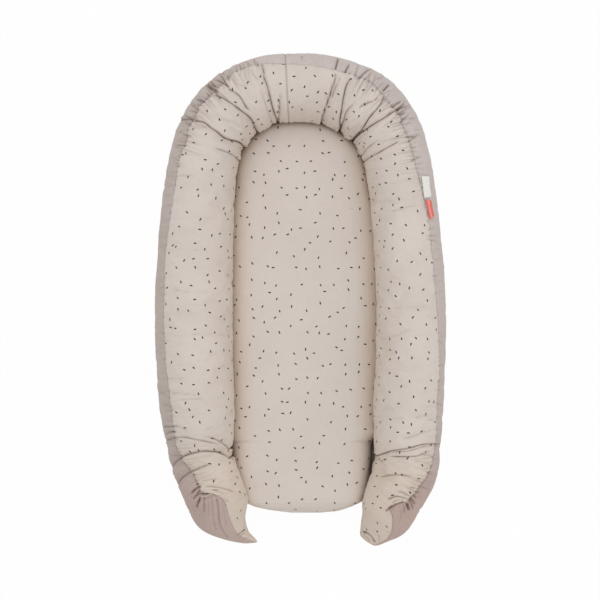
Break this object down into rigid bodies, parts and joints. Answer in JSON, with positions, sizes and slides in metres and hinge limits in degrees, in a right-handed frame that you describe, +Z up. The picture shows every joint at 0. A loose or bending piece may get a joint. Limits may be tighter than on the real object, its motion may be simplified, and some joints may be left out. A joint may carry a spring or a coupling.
{
  "type": "infant lounger",
  "caption": "Soft infant lounger: a stuffed horseshoe tube round a thin mattress, printed on top and plain outside, with drawn-in foot ends that open and a zip underneath.",
  "frame": {"origin": "on the floor, under the middle of the nest's box", "axes": "+X to the right arm, +Y to the head end, +Z up"},
  "size_m": [0.4716, 0.7982, 0.13],
  "materials": {
    "printed_cotton": "matte",
    "plain_cotton": "matte",
    "base_cotton": "matte",
    "lining": "matte",
    "fibre": "matte",
    "wadding": "matte",
    "cord": "matte",
    "white_label_cloth": "satin",
    "coral_label_cloth": "satin",
    "zip_tape": "matte",
    "zip_plastic": "satin"
  },
  "bodies": {
    "nest": {"left_top_cover": "printed_cotton", "right_top_cover": "printed_cotton", "left_band": "plain_cotton", "right_band": "plain_cotton", "main_sleeve": "lining", "main_stuffing": "fibre", "main_cord": "cord", "base_top_panel": "printed_cotton", "mattress_liner_top": "lining", "mattress_core": "wadding", "mattress_liner_bottom": "lining", "base_foot_flap": "base_cotton", "base_bottom_panel": "base_cotton", "zip_tape_head": "zip_tape", "zip_tape_foot": "zip_tape", "zip_stop_left": "zip_plastic", "zip_stop_right": "zip_plastic", "white_label": "white_label_cloth", "coral_label": "coral_label_cloth", "care_label": "white_label_cloth"},
    "left_foot": {"left_foot_top_cover": "printed_cotton", "left_foot_band": "plain_cotton", "left_foot_sleeve": "lining", "left_foot_stuffing": "fibre", "left_foot_cord": "cord", "left_knot": "cord", "left_tip_tuck": "printed_cotton"},
    "right_foot": {"right_foot_top_cover": "printed_cotton", "right_foot_band": "plain_cotton", "right_foot_sleeve": "lining", "right_foot_stuffing": "fibre", "right_foot_cord": "cord", "right_knot": "cord", "right_tip_tuck": "printed_cotton"},
    "slider": {"zip_slider": "zip_plastic"},
    "puller": {"zip_puller": "zip_plastic"}
  },
  "joints": [
    {"name": "left_foot_open", "type": "hinge", "parent": "nest", "child": "left_foot", "pos_m": [-0.21655, -0.23268, 0.06], "axis": [0, 0, -1], "range_deg": [0, 25]},
    {"name": "right_foot_open", "type": "hinge", "parent": "nest", "child": "right_foot", "pos_m": [0.22749, -0.2436, 0.06], "axis": [0, 0, 1], "range_deg": [0, 25]},
    {"name": "zip_slide", "type": "slide", "parent": "nest", "child": "slider", "axis": [1, 0, 0], "range_m": [0, 0.176]},
    {"name": "puller_swing", "type": "hinge", "parent": "slider", "child": "puller", "pos_m": [-0.08625, -0.23394, 0.00405], "axis": [0, 1, 0], "range_deg": [0, 150]}
  ]
}
